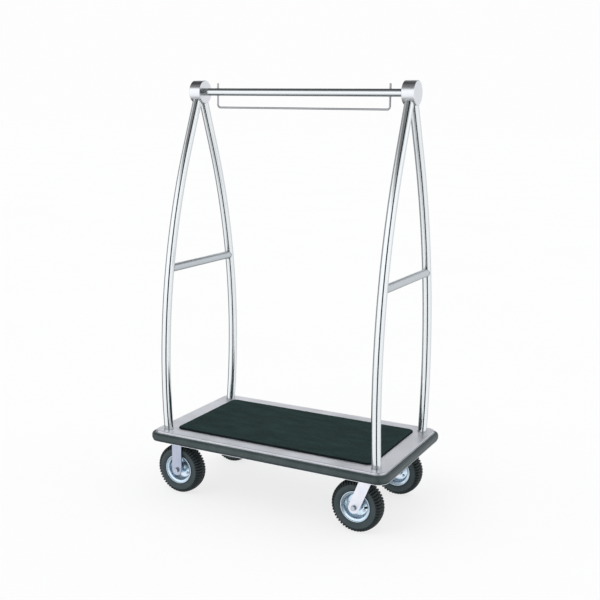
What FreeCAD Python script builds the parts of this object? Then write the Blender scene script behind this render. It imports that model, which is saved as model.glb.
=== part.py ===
"""A bellman's luggage cart: a low carpeted deck on two fixed and two swivel pneumatic casters, with a
bowed tube frame at each end and a round bar between them that carries clothes hangers.

Millimetres. X runs along the deck, with the swivel casters at +X. Y runs across it, with the rear
at +Y. Z is up from the floor. The origin is on the floor, under the middle of the deck.
"""

import FreeCAD, Part
import math
import os

# Deck: a folded stainless pan with the carpet on top and a rubber bumper round its skirt.
DECK_LENGTH = 1050.0
DECK_WIDTH = 606.0
DECK_TOP = 283.0
DECK_CORNER = 36.0
DECK_EDGE_ROLL = 2.5
PAN_SHEET = 2.0
PAN_DEPTH = 42.0
MAT_LENGTH = 900.0
MAT_WIDTH = 472.0
MAT_THICK = 7.0
MAT_CORNER = 26.0
MAT_EDGE = 3.0
BUMPER_HEIGHT = 32.0
BUMPER_REACH = 18.0
BUMPER_ROUND = 12.0
RAIL_SHEET = 1.5
RAIL_LIP = 13.5

# Underframe: two cross channels that the casters bolt to, and two stringers between them.
CHANNEL_BASE = 246.0
CHANNEL_WIDTH = 146.0
CHANNEL_SPAN = 580.0
CHANNEL_SHEET = 3.0
STRINGER_WIDTH = 60.0
STRINGER_OFFSET = 150.0

# End frames: each has two bowed posts that lean together under a round hub.
END_X = 478.0
POST_RADIUS = 19.0
TUBE_WALL = 1.5
BOW_RADIUS = 2442.0
BOW_Y = -2171.4
BOW_Z = 574.4
BOW_TOP = 1475.0
BOW_SPARE = 60.0
STRAIGHT_RUN = 400.0
POST_FOOT = 261.5
SOCKET_FLOOR = 3.0
SOCKET_WALL = 3.5
POST_SCREW_Z = 271.0
POST_NUT = 4.0
CROSSBAR_Z = 972.0
CROSSBAR_RADIUS = 17.0

# Top: a drum at each end, the round bar between them, and the wire rail for the hangers.
HUB_Z = 1700.0
HUB_RADIUS = 48.0
HUB_WIDTH = 52.0
HUB_WALL = 5.0
HUB_BACK = 6.0
HUB_EDGE = 2.5
CAP_THICK = 4.0
CAP_SPIGOT = 3.0
CAP_BEVEL = 1.5
BAR_RADIUS = 16.0
BAR_PLUG = 24.0
BAR_BOLT_REACH = 16.0
GARMENT_X = 390.0
GARMENT_DROP = 64.0
GARMENT_WIRE = 4.0
GARMENT_BEND = 12.0
GARMENT_ABOVE = 20.0
GARMENT_TIP = 1.5

# Casters.
CASTER_X = 437.0
CASTER_Y = 215.0
TRAIL = 48.0
PLATE_LENGTH = 135.0
PLATE_WIDTH = 110.0
PLATE_THICK = 6.0
PLATE_CORNER = 10.0
BOLT_DX = 52.5
BOLT_DY = 40.0
LEG_INSIDE = 38.0
LEG_THICK = 5.0
LEG_WIDTH = 46.0
CROWN_LOW = 219.0
CROWN_TOP = 225.0
CROWN_RADIUS = 50.0
RACE_TOP = 236.0
RACE_RADIUS = 30.0
RACE_SHELF = 4.0
RACE_CUP = 40.0
CUP_WALL = 3.0
BALL_RADIUS = 4.0
BALL_COUNT = 14
CAGE_HALF_WIDTH = 3.0
CAGE_HALF_THICK = 1.0
KINGPIN_HEAD = 10.0
KINGPIN_HEAD_THICK = 4.0
WASHER_RADIUS = 12.0
WASHER_THICK = 2.0
SPACER_WALL = 3.0

# Wheels: a pneumatic tyre and its tube on a rim of two pressed halves.
WHEEL_RADIUS = 106.0
HUB_HALF = 30.0
BEARING_RADIUS = 14.0
BEARING_WIDTH = 8.0
RIM_SHEET = 2.0
RIM_LIP_RADIUS = 61.0
RIM_LIP_Y = 29.0
RIM_LIP_ROLL = 2.4
RIM_BOLT_CIRCLE = 34.0
RIM_BOLT_COUNT = 5
RIM_BOLT_START = 36.0
TUBE_CIRCLE = 76.8
TUBE_RADIUS = 22.0
TUBE_SKIN = 1.5
VALVE_RADIUS = 3.5
VALVE_LEAN = 0.62
VALVE_START_Y = -2.0
VALVE_LENGTH = 26.0
VALVE_CAP_LENGTH = 10.0

# How far round each wheel has rolled, in degrees.
WHEEL_TURNS = {"rigid_front": -40, "rigid_rear": 80, "swivel_front": 180, "swivel_rear": 80}

# Fasteners: shank radius, width across the flats, head height and nut height.
M6 = (3.0, 10.0, 4.0, 5.0)
M8 = (4.0, 13.0, 5.3, 6.5)
M10 = (5.0, 16.0, 6.4, 8.0)
M12 = (6.0, 18.0, 7.5, 8.0)
AXLE_RADIUS = M12[0]

RUNNING = 0.05
GAP = 0.3
HOLE_PLAY = 0.1

ORIGIN = FreeCAD.Vector(0, 0, 0)
X_AXIS = FreeCAD.Vector(1, 0, 0)
Y_AXIS = FreeCAD.Vector(0, 1, 0)
Z_AXIS = FreeCAD.Vector(0, 0, 1)
FRONT_AND_REAR = {"front": -1, "rear": 1}
LEFT_AND_RIGHT = {"left": -1, "right": 1}


def vec(x, y, z):
    return FreeCAD.Vector(x, y, z)


def moved(shape, x, y, z):
    """A copy of the shape, shifted."""
    copy = shape.copy()
    copy.translate(vec(x, y, z))
    return copy


def turned(shape, axis, degrees):
    """A copy of the shape, turned about an axis through the origin."""
    copy = shape.copy()
    copy.rotate(ORIGIN, axis, degrees)
    return copy


def mirrored(shape, normal):
    """The shape's mirror image in the plane through the origin with this normal."""
    return shape.mirror(ORIGIN, normal)


def box(x, y, z):
    """A box from three (low, high) pairs."""
    return Part.makeBox(x[1] - x[0], y[1] - y[0], z[1] - z[0], vec(x[0], y[0], z[0]))


def rod(radius, start, end, axis):
    """A round rod along one axis through the origin, from start to end on it."""
    return Part.makeCylinder(radius, end - start, axis * start, axis)


def hexagon(across, start, end, axis):
    """A hexagonal prism along one axis through the origin."""
    corner = across / math.sqrt(3)
    side = Z_AXIS if abs(axis.z) < 0.5 else X_AXIS
    other = axis.cross(side)
    points = []
    for k in range(7):
        angle = math.radians(60 * k)
        points.append(axis * start + (side * math.cos(angle) + other * math.sin(angle)) * corner)
    return Part.Face(Part.makePolygon(points)).extrude(axis * (end - start))


def rounded_plate(length, width, corner, low, high):
    """A slab with rounded corners, centred on the Z axis."""
    slab = box((-length / 2, length / 2), (-width / 2, width / 2), (low, high))
    upright = [e for e in slab.Edges if abs(e.Vertexes[0].Z - e.Vertexes[1].Z) > 0.5 * (high - low)]
    return slab.makeFillet(corner, upright)


def rim_edges(shape, z):
    """The edges of a slab that lie in the plane at this height."""
    return [e for e in shape.Edges if all(abs(v.Z - z) < 0.001 for v in e.Vertexes)]


def section(*runs):
    """A face in the XY plane. Each run is its kind, "arc" or "line", and the points it goes through."""
    edges = []
    for kind, run in runs:
        points = [vec(r, y, 0) for r, y in run]
        if kind == "arc":
            edges.append(Part.Arc(*points).toShape())
        else:
            edges += [Part.makeLine(a, b) for a, b in zip(points, points[1:])]
    return Part.Face(Part.Wire(edges))


def spun(face):
    """A section turned about the Y axis, so that its X is a radius."""
    return face.revolve(ORIGIN, Y_AXIS, 360)


def save(name, *solids):
    """Writes one node, from one solid or from a group of separate ones."""
    shape = solids[0] if len(solids) == 1 else Part.makeCompound(list(solids))
    shape.exportStep(os.path.join("parts", name + ".step"))


# ---------------------------------------------------------------- end frames


def bow(radius, low, high):
    """A solid round bar that follows the rear post's centreline, cut level at both heights.

    The line is an arc up to BOW_TOP and its tangent above that, and lies in the plane X = 0.
    """
    tilt_low = math.asin((low - BOW_SPARE - BOW_Z) / BOW_RADIUS)
    tilt_high = math.asin((BOW_TOP - BOW_Z) / BOW_RADIUS)
    centre = vec(0, BOW_Y, BOW_Z)

    def on_arc(tilt):
        return centre + vec(0, math.cos(tilt), math.sin(tilt)) * BOW_RADIUS

    def along(tilt):
        return vec(0, -math.sin(tilt), math.cos(tilt))

    start = on_arc(tilt_low)
    disc = Part.Face(Part.Wire(Part.makeCircle(radius, start, along(tilt_low))))
    bent = disc.revolve(centre, X_AXIS, math.degrees(tilt_high - tilt_low))
    straight = Part.makeCylinder(radius, STRAIGHT_RUN, on_arc(tilt_high), along(tilt_high))
    whole = bent.fuse(straight)
    level = box((-2 * radius, 2 * radius), (-DECK_WIDTH, DECK_WIDTH), (low, high))
    return whole.common(level).removeSplitter()


def post_solid(radius, low, high, rear):
    """The same bar for the front or the rear post."""
    shape = bow(radius, low, high)
    return shape if rear > 0 else mirrored(shape, Y_AXIS)


def foot_y(z):
    """How far the post's centreline is from the cart's middle at a height on its arc."""
    return BOW_Y + math.sqrt(BOW_RADIUS**2 - (z - BOW_Z) ** 2)


def foot_hole(rear):
    """The space of the cross hole through a post's foot."""
    hole = rod(M8[0] + HOLE_PLAY, -2 * POST_RADIUS, 2 * POST_RADIUS, X_AXIS)
    return moved(hole, 0, rear * foot_y(POST_SCREW_Z), POST_SCREW_Z)


def post(rear):
    """A bowed tube, coped to sit against the drum, with the cross hole for its foot screw."""
    tube = post_solid(POST_RADIUS, POST_FOOT, HUB_Z, rear)
    tube = tube.cut(post_solid(POST_RADIUS - TUBE_WALL, POST_FOOT - 1.0, HUB_Z + 1.0, rear))
    drum = rod(HUB_RADIUS + RUNNING, -HUB_WIDTH, HUB_WIDTH, X_AXIS)
    return tube.cut(moved(drum, 0, 0, HUB_Z)).cut(foot_hole(rear))


def post_socket(rear):
    """The cup under the deck sheet that the post's foot stands in."""
    low = POST_FOOT - SOCKET_FLOOR
    cup = post_solid(POST_RADIUS + SOCKET_WALL, low, DECK_TOP - PAN_SHEET, rear)
    cup = cup.cut(post_solid(POST_RADIUS + HOLE_PLAY, POST_FOOT, DECK_TOP, rear))
    return cup.cut(foot_hole(rear))


def post_screw(side, rear):
    """The screw and thin nut that cross a post's foot, with the head towards the cart's middle."""
    shank, flats, head, _ = M8
    seat = POST_RADIUS + SOCKET_WALL
    end = seat + POST_NUT
    screw = rod(shank, -seat, end + 1.0, X_AXIS).fuse(hexagon(flats, -seat - head, -seat, X_AXIS))
    nut = hexagon(flats, seat, end, X_AXIS).cut(rod(shank, 0, end, X_AXIS))
    place = (side * END_X, rear * foot_y(POST_SCREW_Z), POST_SCREW_Z)
    return [moved(s if side > 0 else mirrored(s, X_AXIS), *place) for s in (screw, nut)]


def crossbar():
    """The level tube between the two posts of an end frame, coped on to both."""
    reach = foot_y(CROSSBAR_Z)
    tube = rod(CROSSBAR_RADIUS, -reach, reach, Y_AXIS)
    tube = tube.cut(rod(CROSSBAR_RADIUS - TUBE_WALL, -reach, reach, Y_AXIS))
    tube = moved(tube, 0, 0, CROSSBAR_Z)
    for rear in FRONT_AND_REAR.values():
        low = CROSSBAR_Z - 2 * POST_RADIUS
        tube = tube.cut(post_solid(POST_RADIUS, low, low + 4 * POST_RADIUS, rear))
    return tube


# ---------------------------------------------------------------- hubs, bar and rail


def hub():
    """The right-hand drum: a turned cup, open at its outer end, with a hole for the bar's bolt."""
    inner = -HUB_WIDTH / 2
    outer = HUB_WIDTH / 2 - CAP_THICK
    drum = rod(HUB_RADIUS, inner, outer, X_AXIS)
    drum = drum.makeFillet(HUB_EDGE, [e for e in drum.Edges if e.BoundBox.XMax < inner + 0.01])
    drum = drum.cut(rod(HUB_RADIUS - HUB_WALL, inner + HUB_BACK, outer, X_AXIS))
    drum = drum.cut(rod(M12[0] + HOLE_PLAY, inner, outer, X_AXIS))
    return moved(drum, END_X, 0, HUB_Z)


def hub_cap():
    """The right-hand drum's outer disc, with a spigot that fits in the cup."""
    face = HUB_WIDTH / 2
    seat = face - CAP_THICK
    disc = rod(HUB_RADIUS, seat, face, X_AXIS)
    disc = disc.makeChamfer(CAP_BEVEL, [e for e in disc.Edges if e.BoundBox.XMin > face - 0.01])
    disc = disc.fuse(rod(HUB_RADIUS - HUB_WALL - HOLE_PLAY, seat - CAP_SPIGOT, seat, X_AXIS))
    return moved(disc, END_X, 0, HUB_Z)


def bar_bolt():
    """The bolt that holds the right-hand end of the bar to its drum, from inside the drum."""
    shank, flats, head, _ = M12
    seat = END_X - HUB_WIDTH / 2 + HUB_BACK
    bolt = rod(shank, seat - HUB_BACK - BAR_BOLT_REACH, seat, X_AXIS)
    return moved(bolt.fuse(hexagon(flats, seat, seat + head, X_AXIS)), 0, 0, HUB_Z)


def hanging_bar():
    """The round tube between the drums, with a tapped plug in each end.

    A hole goes up through it near each end for a leg of the wire rail.
    """
    half = END_X - HUB_WIDTH / 2
    bar = rod(BAR_RADIUS, -half, half, X_AXIS)
    bar = bar.cut(rod(BAR_RADIUS - TUBE_WALL, -half + BAR_PLUG, half - BAR_PLUG, X_AXIS))
    for side in (-1, 1):
        bolt_hole = rod(M12[0] + HOLE_PLAY, half - BAR_PLUG, half, X_AXIS)
        bar = bar.cut(turned(bolt_hole, Z_AXIS, 0 if side > 0 else 180))
        wire_hole = rod(GARMENT_WIRE + HOLE_PLAY, -2 * BAR_RADIUS, 2 * BAR_RADIUS, Z_AXIS)
        bar = bar.cut(moved(wire_hole, side * GARMENT_X, 0, 0))
    return moved(bar, 0, 0, HUB_Z)


def garment_rail():
    """The bent wire under the bar. Its legs go up through the bar and stand out above it."""
    low = HUB_Z - GARMENT_DROP
    high = HUB_Z + BAR_RADIUS + GARMENT_ABOVE
    knee = GARMENT_X - GARMENT_BEND
    slant = GARMENT_BEND * (1 - math.sqrt(0.5))
    right = [
        Part.Arc(
            vec(knee, 0, low),
            vec(GARMENT_X - slant, 0, low + slant),
            vec(GARMENT_X, 0, low + GARMENT_BEND),
        ).toShape(),
        Part.makeLine(vec(GARMENT_X, 0, low + GARMENT_BEND), vec(GARMENT_X, 0, high)),
    ]
    left = [Part.Wire(right).mirror(ORIGIN, X_AXIS).Edges[k] for k in (1, 0)]
    path = Part.Wire(left + [Part.makeLine(vec(-knee, 0, low), vec(knee, 0, low))] + right)
    start = vec(-GARMENT_X, 0, high)
    disc = Part.Face(Part.Wire(Part.makeCircle(GARMENT_WIRE, start, Z_AXIS)))
    wire = path.makePipe(disc)
    ends = [e for e in wire.Edges if all(abs(v.Z - high) < 0.01 for v in e.Vertexes)]
    return wire.makeFillet(GARMENT_TIP, ends)


# ---------------------------------------------------------------- deck


def deck_pan():
    """The folded stainless sheet: top, rolled edge and skirts, with a hole for each post."""
    low = DECK_TOP - PAN_DEPTH
    pan = rounded_plate(DECK_LENGTH, DECK_WIDTH, DECK_CORNER, low, DECK_TOP)
    pan = pan.makeFillet(DECK_EDGE_ROLL, rim_edges(pan, DECK_TOP))
    inside = rounded_plate(
        DECK_LENGTH - 2 * PAN_SHEET,
        DECK_WIDTH - 2 * PAN_SHEET,
        DECK_CORNER - PAN_SHEET,
        low - 1.0,
        DECK_TOP - PAN_SHEET,
    )
    inside = inside.makeFillet(DECK_EDGE_ROLL - PAN_SHEET, rim_edges(inside, DECK_TOP - PAN_SHEET))
    pan = pan.cut(inside)
    for side in LEFT_AND_RIGHT.values():
        for rear in FRONT_AND_REAR.values():
            hole = post_solid(POST_RADIUS + HOLE_PLAY, low, DECK_TOP + 1.0, rear)
            pan = pan.cut(moved(hole, side * END_X, 0, 0))
    return pan


def carpet_mat():
    """The carpet that covers the middle of the deck."""
    top = DECK_TOP + MAT_THICK
    mat = rounded_plate(MAT_LENGTH, MAT_WIDTH, MAT_CORNER, DECK_TOP, top)
    return mat.makeFillet(MAT_EDGE, rim_edges(mat, top))


def bumper():
    """The rubber strip round the skirt, with a domed outer face."""
    low = DECK_TOP - PAN_DEPTH + RAIL_SHEET
    high = low + BUMPER_HEIGHT
    ring = rounded_plate(
        DECK_LENGTH + 2 * BUMPER_REACH,
        DECK_WIDTH + 2 * BUMPER_REACH,
        DECK_CORNER + BUMPER_REACH,
        low,
        high,
    )
    ring = ring.makeFillet(BUMPER_ROUND, rim_edges(ring, low) + rim_edges(ring, high))
    return ring.cut(skirt_plate(RAIL_SHEET, low - 1.0, high + 1.0))


def skirt_plate(reach, low, high):
    """A slab that stands out from the pan's skirt by reach all round."""
    return rounded_plate(
        DECK_LENGTH + 2 * reach, DECK_WIDTH + 2 * reach, DECK_CORNER + reach, low, high
    )


def bumper_rail():
    """The steel angle that carries the bumper: a band on the skirt and a lip under the rubber."""
    low = DECK_TOP - PAN_DEPTH
    band = skirt_plate(RAIL_SHEET, low, low + RAIL_SHEET + BUMPER_HEIGHT)
    lip = skirt_plate(RAIL_LIP, low, low + RAIL_SHEET)
    return band.fuse(lip).cut(skirt_plate(0, low - 1.0, DECK_TOP)).removeSplitter()


def channel(length, width, depth):
    """A folded channel along Y, open at the top, with its floor at z = 0."""
    outer = box((-width / 2, width / 2), (-length / 2, length / 2), (0, depth))
    inner_half = width / 2 - CHANNEL_SHEET
    trough = box((-inner_half, inner_half), (-length, length), (CHANNEL_SHEET, depth + 1.0))
    return outer.cut(trough)


def end_channel(side):
    """A cross channel, drilled for the plate bolts of two casters."""
    depth = DECK_TOP - PAN_SHEET - CHANNEL_BASE
    beam = moved(channel(CHANNEL_SPAN, CHANNEL_WIDTH, depth), side * CASTER_X, 0, CHANNEL_BASE)
    for rear in FRONT_AND_REAR.values():
        for x, y in bolt_places(side, rear):
            hole = rod(M10[0] + HOLE_PLAY, CHANNEL_BASE, CHANNEL_BASE + CHANNEL_SHEET, Z_AXIS)
            beam = beam.cut(moved(hole, x, y, 0))
    return beam


def deck_stringer(rear):
    """A channel along the deck between the two cross channels."""
    depth = DECK_TOP - PAN_SHEET - CHANNEL_BASE - CHANNEL_SHEET
    length = 2 * CASTER_X - CHANNEL_WIDTH
    beam = turned(channel(length, STRINGER_WIDTH, depth), Z_AXIS, 90)
    return moved(beam, 0, rear * STRINGER_OFFSET, CHANNEL_BASE + CHANNEL_SHEET)


# ---------------------------------------------------------------- casters


def bolt_places(side, rear):
    """The four bolt centres of one caster plate."""
    return [
        (side * CASTER_X + dx, rear * CASTER_Y + dy)
        for dx in (-BOLT_DX, BOLT_DX)
        for dy in (-BOLT_DY, BOLT_DY)
    ]


def caster_bolt():
    """A plate bolt and its nut, on the Z axis."""
    shank, flats, head, nut_height = M10
    plate_low = CHANNEL_BASE - PLATE_THICK
    floor = CHANNEL_BASE + CHANNEL_SHEET
    end = floor + nut_height
    bolt = rod(shank, plate_low, end + 0.8, Z_AXIS)
    bolt = bolt.fuse(hexagon(flats, plate_low - head, plate_low, Z_AXIS))
    nut = hexagon(flats, floor, end, Z_AXIS).cut(rod(shank, floor, end, Z_AXIS))
    return [bolt, nut]


def mounting_plate():
    """The drilled plate of a caster, centred on the Z axis."""
    low = CHANNEL_BASE - PLATE_THICK
    plate = rounded_plate(PLATE_LENGTH, PLATE_WIDTH, PLATE_CORNER, low, CHANNEL_BASE)
    for dx in (-BOLT_DX, BOLT_DX):
        for dy in (-BOLT_DY, BOLT_DY):
            hole = rod(M10[0] + HOLE_PLAY, low, CHANNEL_BASE, Z_AXIS)
            plate = plate.cut(moved(hole, dx, dy, 0))
    return plate


def leg(lean, top, top_half):
    """One side of a fork, in the rear: a strap from the axle, lean behind the axis, up to top."""
    rise = top - WHEEL_RADIUS
    long = math.hypot(lean, rise)
    across = LEG_WIDTH / 2
    shift_x = -rise / long * across
    shift_z = lean / long * across
    corners = [
        (-lean + shift_x, WHEEL_RADIUS + shift_z),
        (-top_half, top),
        (top_half, top),
        (-lean - shift_x, WHEEL_RADIUS - shift_z),
    ]
    points = [vec(x, LEG_INSIDE, z) for x, z in corners + corners[:1]]
    strap = Part.Face(Part.makePolygon(points)).extrude(Y_AXIS * LEG_THICK)
    eye = moved(rod(across, LEG_INSIDE, LEG_INSIDE + LEG_THICK, Y_AXIS), -lean, 0, WHEEL_RADIUS)
    hole = rod(AXLE_RADIUS + HOLE_PLAY, 0, 2 * LEG_INSIDE, Y_AXIS)
    return strap.fuse(eye).removeSplitter().cut(moved(hole, -lean, 0, WHEEL_RADIUS))


def rigid_fork():
    """The fixed caster's plate with its two upright legs."""
    plate_low = CHANNEL_BASE - PLATE_THICK
    across = LEG_WIDTH / 2
    outside = LEG_INSIDE + LEG_THICK
    side = leg(0.0, plate_low, across)
    bridge = box((-across, across), (-outside, outside), (plate_low - LEG_THICK, plate_low))
    fork = bridge.fuse([side, mirrored(side, Y_AXIS)]).removeSplitter()
    bend = [
        e
        for e in rim_edges(fork, plate_low)
        if all(abs(abs(v.Y) - outside) < 0.001 for v in e.Vertexes)
    ]
    fork = fork.makeFillet(LEG_THICK - 0.5, bend)
    return fork.fuse(mounting_plate()).removeSplitter()


def swivel_plate():
    """The swivel caster's plate with the upper cup of its ball race and the kingpin's seat."""
    plate_low = CHANNEL_BASE - PLATE_THICK
    cup = rod(RACE_CUP, CROWN_TOP + 1.0, plate_low, Z_AXIS)
    cup = cup.cut(rod(RACE_CUP - CUP_WALL, CROWN_TOP, RACE_TOP, Z_AXIS))
    plate = mounting_plate().fuse(cup).removeSplitter()
    plate = plate.cut(rod(M12[0] + HOLE_PLAY, CROWN_TOP, CHANNEL_BASE, Z_AXIS))
    seat = CHANNEL_BASE - KINGPIN_HEAD_THICK
    return plate.cut(rod(KINGPIN_HEAD + HOLE_PLAY, seat, CHANNEL_BASE, Z_AXIS))


def kingpin():
    """The pin that the fork turns on, with its flush head and the nut under the crown."""
    shank, flats, _, nut_height = M12
    nut_top = CROWN_LOW - GAP
    nut_low = nut_top - nut_height
    seat = CHANNEL_BASE - KINGPIN_HEAD_THICK
    pin = rod(shank, nut_low - 2.0, seat, Z_AXIS).fuse(rod(KINGPIN_HEAD, seat, CHANNEL_BASE, Z_AXIS))
    nut = hexagon(flats, nut_low, nut_top, Z_AXIS).cut(rod(shank, nut_low, nut_top, Z_AXIS))
    return [pin, nut]


def ball_cage():
    """The balls of the swivel race in the ring that spaces them."""
    centre = RACE_TOP - GAP - BALL_RADIUS
    low = centre - CAGE_HALF_THICK
    high = centre + CAGE_HALF_THICK
    ring = rod(RACE_RADIUS + CAGE_HALF_WIDTH, low, high, Z_AXIS)
    ring = ring.cut(rod(RACE_RADIUS - CAGE_HALF_WIDTH, low, high, Z_AXIS))
    ball = Part.makeSphere(BALL_RADIUS, vec(RACE_RADIUS, 0, centre))
    balls = [turned(ball, Z_AXIS, 360.0 / BALL_COUNT * k) for k in range(BALL_COUNT)]
    return ring.fuse(balls)


def swivel_fork():
    """The turning fork: a round crown with the lower race on it and two slanted legs."""
    outside = LEG_INSIDE + LEG_THICK
    chord = math.sqrt(CROWN_RADIUS**2 - outside**2)
    side = leg(TRAIL, CROWN_TOP, chord)
    crown = rod(CROWN_RADIUS, CROWN_LOW, CROWN_TOP, Z_AXIS)
    race_low = RACE_TOP - 2 * (GAP + BALL_RADIUS)
    race = rod(RACE_RADIUS + RACE_SHELF, CROWN_TOP, race_low, Z_AXIS)
    fork = crown.fuse([race, side, mirrored(side, Y_AXIS)]).removeSplitter()
    return fork.cut(rod(M12[0] + RUNNING, CROWN_LOW, RACE_TOP, Z_AXIS))


def axle():
    """The axle bolt with its nut, washers and spacers, centred on the wheel."""
    shank, flats, head, nut_height = M12
    outside = LEG_INSIDE + LEG_THICK
    seat = outside + WASHER_THICK
    end = seat + nut_height
    bolt = rod(shank, -end - 3.0, seat, Y_AXIS).fuse(hexagon(flats, seat, seat + head, Y_AXIS))
    nut = hexagon(flats, -end, -seat, Y_AXIS)
    washer = rod(WASHER_RADIUS, outside, seat, Y_AXIS)
    spacer = rod(shank + SPACER_WALL, HUB_HALF + GAP, LEG_INSIDE, Y_AXIS)
    core = rod(shank, -end, seat, Y_AXIS)
    loose = [nut, washer, mirrored(washer, Y_AXIS), spacer, mirrored(spacer, Y_AXIS)]
    return [bolt] + [piece.cut(core) for piece in loose]


# ---------------------------------------------------------------- wheels


def tyre():
    """The pneumatic tyre: a horseshoe section with beads on the rim and a slightly round tread."""
    toe = (53.3, 14.0)
    heel = (53.3, 22.0)
    bead = (60.5, 19.5)
    wall_foot = (62.8, 26.2)
    shoulder_foot = (98.0, 29.0)
    tread_edge = (WHEEL_RADIUS - 1.8, 19.0)
    liner_top = (93.5, 21.5)
    wall = [wall_foot, (82.0, 33.0), shoulder_foot]
    shoulder = [shoulder_foot, (102.2, 25.5), tread_edge]
    liner = [bead, (79.0, 27.0), liner_top]

    def other_side(run):
        return [(r, -y) for r, y in reversed(run)]

    face = section(
        ("line", [toe, heel, wall_foot]),
        ("arc", wall),
        ("arc", shoulder),
        ("arc", [tread_edge, (WHEEL_RADIUS, 0.0), *other_side([tread_edge])]),
        ("arc", other_side(shoulder)),
        ("arc", other_side(wall)),
        ("line", other_side([bead, toe, heel, wall_foot])),
        ("arc", other_side(liner)),
        ("arc", [*other_side([liner_top]), (99.5, 0.0), liner_top]),
        ("arc", liner[::-1]),
        ("line", [bead, toe]),
    )
    return spun(face)


def valve_line(radius, start, end):
    """A round rod along the valve's slanting line, measured from the tube's skin."""
    lean = vec(-VALVE_LEAN, math.sqrt(1 - VALVE_LEAN**2), 0)
    base = vec(TUBE_CIRCLE - TUBE_RADIUS + TUBE_SKIN, VALVE_START_Y, 0)
    return Part.makeCylinder(radius, end - start, base + lean * start, lean)


def inner_tube():
    """The air tube inside the tyre, with its valve stem and cap."""
    ring = Part.makeTorus(TUBE_CIRCLE, TUBE_RADIUS, ORIGIN, Y_AXIS)
    hollow = Part.makeTorus(TUBE_CIRCLE, TUBE_RADIUS - TUBE_SKIN, ORIGIN, Y_AXIS)
    stem = valve_line(VALVE_RADIUS, 0.0, VALVE_LENGTH).cut(hollow)
    end = VALVE_LENGTH + 0.4 * VALVE_CAP_LENGTH
    cap = valve_line(VALVE_RADIUS + 1.0, end - VALVE_CAP_LENGTH, end)
    return ring.cut(hollow).fuse([stem, cap])


def rim_half():
    """One pressed half of the rim, in +Y: bearing sleeve, bolting ring, bead seat and rolled lip."""
    sheet = [
        (BEARING_RADIUS, HUB_HALF),
        (16.5, HUB_HALF),
        (16.5, 10.0),
        (24.5, RIM_SHEET),
        (43.5, RIM_SHEET),
        (51.0, 9.5),
        (51.0, 24.4),
        (RIM_LIP_RADIUS - 0.5, RIM_LIP_Y - 0.3),
        (RIM_LIP_RADIUS + 1.0, RIM_LIP_Y - 2.6),
        (53.0, 22.4),
        (53.0, 8.7),
        (44.3, 0.0),
        (23.7, 0.0),
        (BEARING_RADIUS, 9.7),
        (BEARING_RADIUS, HUB_HALF),
    ]
    lip = Part.makeTorus(RIM_LIP_RADIUS, RIM_LIP_ROLL, vec(0, RIM_LIP_Y, 0), Y_AXIS)
    half = spun(section(("line", sheet))).fuse(lip)
    for x, z in rim_bolt_places():
        half = half.cut(moved(rod(M6[0] + HOLE_PLAY, 0, RIM_SHEET, Y_AXIS), x, 0, z))
    return half


def rim_bolt_places():
    """The bolt centres round the rim, turned so that none is under the valve."""
    step = 360.0 / RIM_BOLT_COUNT
    turns = [math.radians(RIM_BOLT_START + step * k) for k in range(RIM_BOLT_COUNT)]
    return [(RIM_BOLT_CIRCLE * math.cos(t), RIM_BOLT_CIRCLE * math.sin(t)) for t in turns]


def rim_bolts():
    """The bolts and nuts that clamp the two halves together, with their heads in +Y."""
    shank, flats, head, nut_height = M6
    end = RIM_SHEET + nut_height
    bolt = rod(shank, -end - 1.5, RIM_SHEET, Y_AXIS)
    bolt = bolt.fuse(hexagon(flats, RIM_SHEET, RIM_SHEET + head, Y_AXIS))
    nut = hexagon(flats, -end, -RIM_SHEET, Y_AXIS).cut(rod(shank, -end, 0, Y_AXIS))
    return [moved(s, x, 0, z) for x, z in rim_bolt_places() for s in (bolt, nut)]


def bearing():
    """The ball bearing in the +Y end of the sleeve, with a shield between its two rings."""
    out = HUB_HALF
    back = HUB_HALF - BEARING_WIDTH
    shield = out - 0.8
    bore = AXLE_RADIUS + RUNNING
    corners = [
        (bore, out),
        (8.5, out),
        (8.5, shield),
        (11.5, shield),
        (11.5, out),
        (BEARING_RADIUS, out),
        (BEARING_RADIUS, back),
        (bore, back),
        (bore, out),
    ]
    return spun(section(("line", corners)))


def save_wheel(name, x, rear):
    """Writes the nodes of one wheel. Its valve is on the cart's outer side."""
    valve_space = valve_line(VALVE_RADIUS + GAP, 0.0, VALVE_LENGTH + VALVE_CAP_LENGTH)
    pieces = {
        "tyre": [tyre()],
        "inner_tube": [inner_tube()],
        "rim_outer": [rim_half().cut(valve_space)],
        "rim_inner": [mirrored(rim_half(), Y_AXIS)],
        "rim_bolts": rim_bolts(),
        "bearings": [bearing(), mirrored(bearing(), Y_AXIS)],
    }
    for piece, solids in pieces.items():
        placed = []
        for solid in solids:
            rolled = turned(solid, Y_AXIS, WHEEL_TURNS[name])
            facing = rolled if rear > 0 else turned(rolled, Z_AXIS, 180)
            placed.append(moved(facing, x, rear * CASTER_Y, WHEEL_RADIUS))
        save(f"{piece}_{name}", *placed)


def save_deck():
    save("deck_pan", deck_pan())
    save("carpet_mat", carpet_mat())
    save("bumper", bumper())
    save("bumper_rail", bumper_rail())
    save("deck_stringers", *[deck_stringer(rear) for rear in FRONT_AND_REAR.values()])
    for name, side in LEFT_AND_RIGHT.items():
        save(f"end_channel_{name}", end_channel(side))


def save_end_frames():
    corners = [(s, r) for s in LEFT_AND_RIGHT.values() for r in FRONT_AND_REAR.values()]
    for name, side in LEFT_AND_RIGHT.items():
        for end, rear in FRONT_AND_REAR.items():
            save(f"post_{name}_{end}", moved(post(rear), side * END_X, 0, 0))
        save(f"crossbar_{name}", moved(crossbar(), side * END_X, 0, 0))
    save("post_sockets", *[moved(post_socket(rear), side * END_X, 0, 0) for side, rear in corners])
    save("post_screws", *[s for side, rear in corners for s in post_screw(side, rear)])


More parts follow.
